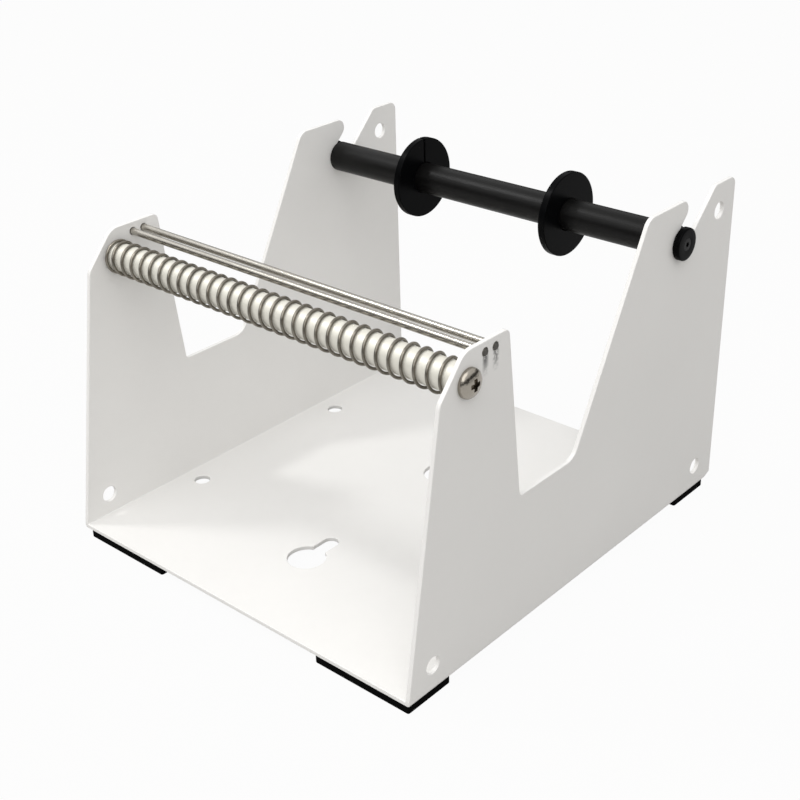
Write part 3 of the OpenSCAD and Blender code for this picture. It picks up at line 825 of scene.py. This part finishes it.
class FoldedBlank:
    """The flat blank of the frame, and the fold that turns its cheeks up."""

    def __init__(self, sheet):
        self.sheet = sheet
        self.width = SHEET_HIGH.x - SHEET_LOW.x
        self.depth = SHEET_HIGH.y - SHEET_LOW.y
        self.top = SHEET_HIGH.z - SHEET_LOW.z
        self.fold_height = sheet.fold_radius + sheet.thickness
        self.fold_start = self.width / 2 - self.fold_height
        self.fold_length = (sheet.fold_radius + sheet.thickness / 2) * pi / 2
        self.fold_end = self.fold_start + self.fold_length

    def spot(self, height, setback):
        """Place in the blank of a point of the right cheek."""
        return Vector((self.fold_end + height - self.fold_height, setback))

    def outer_reach(self, angle):
        """From the middle of a fold out to the sheet's outer face, at an angle from straight down."""
        flat = self.fold_height - self.sheet.fold_outer_radius
        leaning = min(angle, pi / 2 - angle)
        if self.fold_height * tan(leaning) <= flat:
            return self.fold_height / cos(leaning)
        along = flat * (sin(angle) + cos(angle))
        return along + sqrt(along**2 - 2 * flat**2 + self.sheet.fold_outer_radius**2)

    def folded(self, across, setback, depth):
        """Place in the frame of a point of the blank, at a depth from its inner face."""
        sheet = self.sheet
        angle = min(max(abs(across) - self.fold_start, 0) / self.fold_length, 1) * pi / 2
        reach = sheet.fold_radius + (self.outer_reach(angle) - sheet.fold_radius) * depth / sheet.thickness
        x = min(abs(across), self.fold_start) + reach * sin(angle)
        z = self.fold_height - reach * cos(angle) + max(abs(across) - self.fold_end, 0)
        return copysign(x, across), SHEET_LOW.y + setback, SHEET_LOW.z + z

    def slot_corners(self):
        """Corners of the slot, from the tower's tip down to its end and up to the horn's tip."""
        sheet = self.sheet
        half = sheet.slot_width / 2
        seat = self.spot(SPINDLE.z - SHEET_LOW.z, SPINDLE.y - SHEET_LOW.y)
        along = Vector((sin(sheet.slot_angle), cos(sheet.slot_angle)))
        side = Vector((cos(sheet.slot_angle), -sin(sheet.slot_angle))) * half
        top = self.spot(self.top, 0).x
        tips = [seat + s + along * (top - seat.x - s.x) / along.x for s in (side, -side)]
        return [
            (tips[0], sheet.tower_tip_radius),
            (seat + side - along * half, half), (seat - side - along * half, half),
            (tips[1], sheet.horn_radius),
        ]

    def heel(self, share):
        """Point of the blank's rear edge at a share of the way round a fold, from the base."""
        angle = share * pi / 2
        height = self.fold_height - self.outer_reach(angle) * cos(angle)
        bevel = max(1 - height / self.sheet.heel_height, 0)
        return Vector((self.fold_start + self.fold_length * share, self.depth - self.sheet.base_gap * bevel))

    def outline(self):
        """Outline of the blank, anticlockwise from the right end of its front edge."""
        sheet = self.sheet
        nose = self.top - sheet.nose_drop
        nose_rear = sheet.nose_setback + sheet.nose_length
        notch = nose_rear + sheet.notch_gap
        right = [
            (self.spot(self.fold_height, 0), 0),
            (self.spot(nose - sheet.lean_drop, sheet.lean_setback), sheet.lean_radius),
            (self.spot(nose, sheet.nose_setback), sheet.nose_front_radius),
            (self.spot(nose, nose_rear), sheet.nose_rear_radius),
            (self.spot(sheet.notch_height, notch), sheet.notch_front_radius),
            (self.spot(sheet.notch_height, notch + sheet.notch_length), sheet.notch_rear_radius),
            (self.spot(self.top, self.depth - sheet.tower_gap), sheet.tower_front_radius),
            *self.slot_corners(),
            (self.spot(self.top, self.depth), sheet.horn_radius),
        ]
        right += [(self.heel(k / FOLD_STEPS), 0) for k in range(FOLD_STEPS, -1, -1)]
        left = [(Vector((-p.x, p.y)), radius) for p, radius in reversed(right)]
        return rounded(right + left)

    def keyhole(self, setback):
        """Keyhole with its mouth towards the front, clockwise."""
        sheet = self.sheet
        radius, half = sheet.keyhole_mouth / 2, sheet.keyhole_neck / 2
        mouth, end = Vector((0, setback - sheet.keyhole_throw)), Vector((0, setback))
        throat = asin(half / radius)
        start = mouth + Vector((-half, sqrt(radius**2 - half**2)))
        edge = arc(mouth, start, tau - 2 * throat) + arc(end, end + Vector((half, 0)), pi)
        return edge[::-1]

    def holes(self):
        """Every hole of the blank, clockwise."""
        sheet = self.sheet
        cheek = [
            (sheet.low_hole_height, sheet.low_hole_front, sheet.hole),
            (sheet.low_hole_height, self.depth - sheet.low_hole_rear, sheet.hole),
            (self.top - sheet.horn_hole_drop, self.depth - sheet.horn_hole_gap, sheet.hole),
            (ROLLER.z - SHEET_LOW.z, ROLLER.y - SHEET_LOW.y, sheet.screw_hole),
        ]
        for node in GUIDE_RODS:
            axis = middle_of(node)
            hole = extent_of(node).z + sheet.rod_clearance
            cheek.append((axis.z - SHEET_LOW.z, axis.y - SHEET_LOW.y, hole))
        base_x = self.width / 2 - sheet.base_hole_gap
        made = []
        for side in (-1, 1):
            for height, setback, size in cheek:
                spot = self.spot(height, setback)
                made.append(ring(Vector((side * spot.x, spot.y)), size / 2))
            for row in range(2):
                setback = sheet.base_row + row * sheet.base_pitch
                made.append(ring(Vector((side * base_x, setback)), sheet.hole / 2))
        return made + [self.keyhole(sheet.base_row + row * sheet.base_pitch) for row in range(2)]

    def solid(self):
        """The blank, cut across its folds and folded up."""
        bm = plate(self.outline(), self.holes(), self.sheet.thickness, self.sheet.rim)
        for k in range(FOLD_STEPS + 1):
            for side in (-1, 1):
                across = side * (self.fold_start + self.fold_length * k / FOLD_STEPS)
                everything = bm.verts[:] + bm.edges[:] + bm.faces[:]
                bmesh.ops.bisect_plane(
                    bm, geom=everything, dist=TINY, plane_co=(across, 0, 0), plane_no=(1, 0, 0)
                )
        return reshape(bm, self.folded)


class DISPENSER_OT_folded_frame(Operator):
    """Build the folded sheet frame with its cut-outs and rounded edges"""

    bl_idname = "dispenser.folded_frame"
    bl_label = "Folded Frame"

    def execute(self, context):
        scene = context.scene
        material = powder_coat(scene.dispenser_finish.coat)
        piece = mesh_object("folded_frame", FoldedBlank(scene.dispenser_sheet).solid(), material)
        fitted(evened(piece), "root", "white_powder_coat", "frame")
        return {"FINISHED"}


class DISPENSER_OT_rubber_feet(Operator):
    """Build the four rubber feet"""

    bl_idname = "dispenser.rubber_feet"
    bl_label = "Rubber Feet"

    def execute(self, context):
        scene = context.scene
        fitting = scene.dispenser_fitting
        nodes = [f"foot_{row}_{side}" for row in ("front", "rear") for side in ("left", "right")]
        size = extent_of(nodes[0])
        half_x, half_y = size.x / 2, size.y / 2
        corners = [(-half_x, -half_y), (half_x, -half_y), (half_x, half_y), (-half_x, half_y)]
        outline = rounded(points(*((x, y, fitting.foot_corner) for x, y in corners)))
        shape = move(plate(outline, [], size.z, fitting.foot_rim), (0, 0, -size.z / 2))
        foot = mesh_object("foot", shape, foot_rubber(scene.dispenser_finish.rubber))
        piece = copied("rubber_feet", foot, [middle_of(node) for node in nodes])
        fitted(evened(piece), "root", "foot_rubber", *nodes)
        return {"FINISHED"}


class DISPENSER_OT_roller_rod(Operator):
    """Build the rod between the noses"""

    bl_idname = "dispenser.roller_rod"
    bl_label = "Roller Rod"

    def execute(self, context):
        scene = context.scene
        size = extent_of("roller_rod")
        shape = move(bar(size.x, size.z / 2, scene.dispenser_fitting.rod_bevel), ROLLER)
        piece = mesh_object("roller_core", shape, roller_metal(scene.dispenser_finish.roller))
        fitted(piece, "root", "roller_aluminium", "roller_rod")
        return {"FINISHED"}


class DISPENSER_OT_roller_spring(Operator):
    """Wind the open spring round the roller rod"""

    bl_idname = "dispenser.roller_spring"
    bl_label = "Roller Spring"

    def execute(self, context):
        scene = context.scene
        spring = scene.dispenser_spring
        inner = (SHEET_HIGH.x - SHEET_LOW.x) / 2 - scene.dispenser_sheet.thickness
        long = 2 * inner - spring.left_gap - spring.right_gap - spring.wire
        closed = spring.close_pitch * (spring.close_turns + 1 / 2)
        open_pitch = (long - closed) / (spring.turns - 1 / 2)
        piece = linked("coil_spring", bpy.data.meshes.new("coil_spring"))
        run_tree(piece, spring_tree(), {
            "Turns": spring.turns, "Close turns": spring.close_turns, "Close pitch": spring.close_pitch,
            "Open pitch": open_pitch, "Start": spring.left_gap + spring.wire / 2 - inner,
            "Coil radius": spring.coil_radius, "Wire radius": spring.wire / 2, "Angle": spring.start_angle,
            "Axis": ROLLER - Vector((0, 0, spring.sag)),
            "Points": round((spring.turns + spring.close_turns) * spring.facets) + 1, "Sides": spring.sides,
            "Material": spring_wire(scene.dispenser_finish.wire),
        })
        smooth(piece.data, SHARP_ANGLE)
        fitted(piece, "spring", "spring_steel", "roller_spring")
        return {"FINISHED"}


def cross_cutters(fitting, seat, material):
    """Two tapered blades that cut a roller screw's cross, whose top lies at x = seat."""
    depth, reach, width = fitting.recess_depth, fitting.recess_length, fitting.recess_width
    blades = []
    for turn in (0, pi / 2):
        bm = bmesh.new()
        bmesh.ops.create_cube(bm, size=1)
        spin = Matrix.Rotation(turn, 3, "X")

        def blade(x, y, z):
            along, across = 1 + fitting.recess_taper * x, 1 + fitting.recess_draft * x
            return spin @ Vector((seat + x * 2 * depth, y * reach * along, z * width * across))

        blades.append(mesh_object("blade", reshape(bm, blade), material))
    return blades


class DISPENSER_OT_roller_screws(Operator):
    """Build the domed screws that hold the roller rod"""

    bl_idname = "dispenser.roller_screws"
    bl_label = "Roller Screws"

    def execute(self, context):
        scene = context.scene
        fitting = scene.dispenser_fitting
        material = screw_metal(scene.dispenser_finish.screw)
        low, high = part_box("roller_screw_right")
        radius, tall, shank = (high.z - low.z) / 2, high.x - SHEET_HIGH.x, SHEET_HIGH.x - low.x
        rise = tall - fitting.head_rim
        turns = [pi / 2 * k / CROWN_STEPS for k in range(CROWN_STEPS)]
        crown = [(fitting.head_rim + rise * sin(a), radius * cos(a)) for a in turns]
        thread, edge = fitting.screw_thread / 2, fitting.screw_edge
        profile = [
            (-shank, 0), (-shank, thread - edge), (edge - shank, thread), (0, thread),
            (0, radius - edge), (edge, radius), *crown, (tall, 0),
        ]
        head = mesh_object("screw", turned(profile), material)
        cut(head, *cross_cutters(fitting, tall, material))
        piece = copied("roller_screws", head, both_sides(SHEET_HIGH.x, ROLLER))
        fitted(piece, "root", "screw_steel", "roller_screw_left", "roller_screw_right")
        return {"FINISHED"}


class DISPENSER_OT_guide_rods(Operator):
    """Build the two thin rods through both noses"""

    bl_idname = "dispenser.guide_rods"
    bl_label = "Guide Rods"

    def execute(self, context):
        scene = context.scene
        size = extent_of(GUIDE_RODS[0])
        bevel = scene.dispenser_fitting.rod_bevel
        material = guide_metal(scene.dispenser_finish.guide, size.x / 2 - bevel)
        rod = mesh_object("rod", bar(size.x, size.z / 2, bevel), material)
        piece = copied("guide_rods", rod, [middle_of(node) for node in GUIDE_RODS])
        fitted(piece, "root", "guide_steel", *GUIDE_RODS)
        return {"FINISHED"}


class DISPENSER_OT_spindle_tube(Operator):
    """Build the turning tube and finish the bushes in its ends"""

    bl_idname = "dispenser.spindle_tube"
    bl_label = "Spindle Tube"

    def execute(self, context):
        scene = context.scene
        size = extent_of("spindle_tube")
        radius = size.z / 2
        wall = scene.dispenser_fitting.tube_wall
        shape = move(tube(size.x, radius, radius - wall, wall / 4), SPINDLE)
        piece = mesh_object("tube_sleeve", shape, tube_finish(scene.dispenser_finish.tube))
        fitted(piece, "tube", "satin_black_tube", "spindle_tube")
        bush = bush_plastic(scene.dispenser_finish.bush)
        for node in ("tube_bush_left", "tube_bush_right"):
            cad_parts[node].material_slots[0].material = bush
        return {"FINISHED"}


def hex_cutter(width, depth, seat, material):
    """Six-sided blade that cuts a socket whose top lies at x = seat."""
    corner = width / 2 / cos(pi / 6)
    low, high = seat - depth, seat + depth
    shape = turned([(low, 0), (low, corner), (high, corner), (high, 0)], facets=6)
    return mesh_object("blade", shape, material)


class DISPENSER_OT_spindle_ends(Operator):
    """Build the caps and their screws and finish the axle"""

    bl_idname = "dispenser.spindle_ends"
    bl_label = "Spindle Ends"

    def execute(self, context):
        scene = context.scene
        fitting = scene.dispenser_fitting
        low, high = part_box("spindle_cap_right")
        thick, radius = high.x - low.x, (high.z - low.z) / 2
        thread, head = fitting.cap_screw_thread / 2, fitting.cap_screw_head / 2
        cone = head - thread
        gap = fitting.cap_screw_gap
        outline = rounded(points(
            (0, thread + gap, 0), (0, radius, fitting.cap_heel), (thick, radius, fitting.cap_bevel),
            (thick, head + gap, fitting.cap_seat), (thick - cone, thread + gap, 0),
        ), CAP_EDGE_STEP)
        plastic = gloss_plastic(scene.dispenser_finish.disc)
        cap = mesh_object("cap", turned(outline, hollow=True), plastic)
        places = both_sides(low.x, SPINDLE)
        piece = copied("spindle_caps", cap, places)
        fitted(piece, "spindle", "gloss_black_plastic", "spindle_cap_left", "spindle_cap_right")

        steel = black_steel(scene.dispenser_finish.steel)
        screw_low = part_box("cap_screw_right")[0].x - low.x
        screw = mesh_object("screw", turned([
            (screw_low, 0), (screw_low, thread), (thick - cone, thread), (thick - gap, head - gap),
            (thick, head - 2 * gap), (thick, 0),
        ]), steel)
        cut(screw, hex_cutter(fitting.socket_width, fitting.socket_depth, thick, steel))
        piece = copied("cap_screws", screw, places)
        fitted(piece, "spindle", "black_steel", "cap_screw_left", "cap_screw_right")
        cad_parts["spindle_axle"].material_slots[0].material = steel
        return {"FINISHED"}


class DISPENSER_OT_guide_discs(Operator):
    """Build the two slit discs that keep the roll in place"""

    bl_idname = "dispenser.guide_discs"
    bl_label = "Guide Discs"

    def execute(self, context):
        scene = context.scene
        fitting = scene.dispenser_fitting
        material = gloss_plastic(scene.dispenser_finish.disc)
        bore = extent_of("spindle_tube").z / 2 + fitting.disc_gap
        half = fitting.slit / 2
        for side, turn in (("left", fitting.left_slit), ("right", fitting.right_slit)):
            node = f"guide_disc_{side}"
            low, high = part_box(node)
            radius = (high.z - low.z) / 2
            middle = Vector((0, 0))
            rim, hub = asin(half / radius), asin(half / bore)
            outer = arc(middle, Vector((-half, radius * cos(rim))), tau - 2 * rim, DISC_STEP)
            inner = arc(middle, Vector((half, bore * cos(hub))), 2 * hub - tau, DISC_BORE_STEP)
            shape = plate(outer + inner, [], high.x - low.x, fitting.disc_rim)
            spin = Matrix.Rotation(turn, 3, "X")
            start = Vector((low.x, SPINDLE.y, SPINDLE.z))
            reshape(shape, lambda y, z, x: start + spin @ Vector((x, y, z)))
            piece = evened(mesh_object(f"disc_{side}", shape, material))
            fitted(piece, f"disc_{side}", "gloss_black_plastic", node)
        return {"FINISHED"}


def area_light(name, place, target, size, power):
    """A square soft light that points at a target."""
    light = bpy.data.lights.new(name, "AREA")
    light.size = size
    light.energy = power
    lamp = linked(name, light)
    lamp.location = place
    lamp.rotation_euler = (target - Vector(place)).to_track_quat("-Z", "Y").to_euler()


def white_to_camera(bench, lit, white, share):
    """A shader that is white, by a share, to the camera and in gloss, and lit elsewhere."""
    rays = bench.node("ShaderNodeLightPath").outputs
    camera, glossy = (Value(bench, rays[f"Is {kind} Ray"]) for kind in ("Camera", "Glossy"))
    factor = (camera + glossy) * share
    return bench.node("ShaderNodeMixShader", {0: factor, 1: lit.outputs[0], 2: white.outputs[0]})


class DISPENSER_OT_stage(Operator):
    """Set up the floor, the light and the camera"""

    bl_idname = "dispenser.stage"
    bl_label = "Stage"

    def execute(self, context):
        scene = context.scene
        stage = scene.dispenser_stage
        self.floor(stage)
        self.curtain(stage)
        self.sky(scene, stage)
        target = (SHEET_LOW + SHEET_HIGH) / 2
        area_light("side_light", stage.side_place, target, stage.side_width, stage.side_power)
        area_light("top_light", stage.top_place, target, stage.top_width, stage.top_power)
        self.camera(scene, stage)
        scene.view_settings.view_transform = "Standard"
        return {"FINISHED"}

    def floor(self, stage):
        """A floor that is white to the camera and keeps the shadows."""
        bm = bmesh.new()
        bmesh.ops.create_grid(bm, x_segments=1, y_segments=1, size=stage.floor_width / 2)
        finish = Finish("floor")
        lit = finish.node("ShaderNodeBsdfDiffuse", {"Color": shade(stage.floor_colour)})
        white = finish.node("ShaderNodeEmission", {"Color": WHITE, "Strength": 1.0})
        material = finish.ended(white_to_camera(finish, lit, white, stage.floor_white))
        floor = linked("floor", mesh_of("floor", bm, material))

    def curtain(self, stage):
        """A dark curtain all round that only gloss shows."""
        bm = bmesh.new()
        radius, facets = stage.floor_width / 4, stage.curtain_facets
        angles = [tau * k / facets for k in range(facets)]
        low, high = (
            [bm.verts.new((radius * cos(a), radius * sin(a), z)) for a in angles]
            for z in (stage.curtain_foot, stage.curtain_height)
        )
        for k in range(facets):
            bm.faces.new((low[k - 1], low[k], high[k], high[k - 1]))
        finish = Finish("curtain")
        material = finish.ended(finish.node("ShaderNodeBsdfDiffuse", {"Color": shade(stage.curtain_colour)}))
        curtain = linked("curtain", mesh_of("curtain", bm, material))
        for ray in ("camera", "diffuse", "transmission", "volume_scatter", "shadow"):
            setattr(curtain, f"visible_{ray}", False)

    def sky(self, scene, stage):
        """Even light from all round, white to the camera."""
        world = bpy.data.worlds.new("sky")
        world.use_nodes = True
        scene.world = world
        bench = Bench(world.node_tree)
        soft, white = (
            bench.node("ShaderNodeBackground", {"Color": WHITE, "Strength": strength})
            for strength in (stage.sky_level, 1.0)
        )
        mix = white_to_camera(bench, soft, white, 1.0)
        bench.node("ShaderNodeOutputWorld", {0: mix.outputs[0]})

    def camera(self, scene, stage):
        """A camera at its place, turned from the front, tilted down and rolled."""
        data = bpy.data.cameras.new("camera")
        data.lens = stage.lens
        camera = linked("camera", data)
        turn = (
            Matrix.Rotation(stage.azimuth, 4, "Z")
            @ Matrix.Rotation(pi / 2 - stage.elevation, 4, "X")
            @ Matrix.Rotation(stage.roll, 4, "Z")
        )
        camera.matrix_world = Matrix.Translation(stage.eye) @ turn
        scene.camera = camera


class DISPENSER_PT_panel(Panel):
    """Buttons that build the dispenser's pieces"""

    bl_label = "Label Dispenser"
    bl_idname = "DISPENSER_PT_panel"
    bl_space_type = "VIEW_3D"
    bl_region_type = "UI"
    bl_category = "Dispenser"

    def draw(self, context):
        for operator in OPERATORS:
            self.layout.operator(operator.bl_idname)


SETTINGS = {
    "dispenser_sheet": SheetSettings,
    "dispenser_spring": SpringSettings,
    "dispenser_fitting": FittingSettings,
    "dispenser_finish": FinishSettings,
    "dispenser_stage": StageSettings,
}
OPERATORS = [
    DISPENSER_OT_folded_frame,
    DISPENSER_OT_rubber_feet,
    DISPENSER_OT_roller_rod,
    DISPENSER_OT_roller_spring,
    DISPENSER_OT_roller_screws,
    DISPENSER_OT_guide_rods,
    DISPENSER_OT_spindle_tube,
    DISPENSER_OT_spindle_ends,
    DISPENSER_OT_guide_discs,
    DISPENSER_OT_stage,
]


def register():
    for cls in [*SETTINGS.values(), *OPERATORS, DISPENSER_PT_panel]:
        bpy.utils.register_class(cls)
    for name, settings in SETTINGS.items():
        setattr(bpy.types.Scene, name, PointerProperty(type=settings))


def unregister():
    for name in SETTINGS:
        delattr(bpy.types.Scene, name)
    for cls in reversed([*SETTINGS.values(), *OPERATORS, DISPENSER_PT_panel]):
        bpy.utils.unregister_class(cls)


def main():
    """Builds the whole dispenser and its stage."""
    register()
    for operator in OPERATORS:
        group, name = operator.bl_idname.split(".")
        getattr(getattr(bpy.ops, group), name)()


if __name__ == "__main__":
    main()
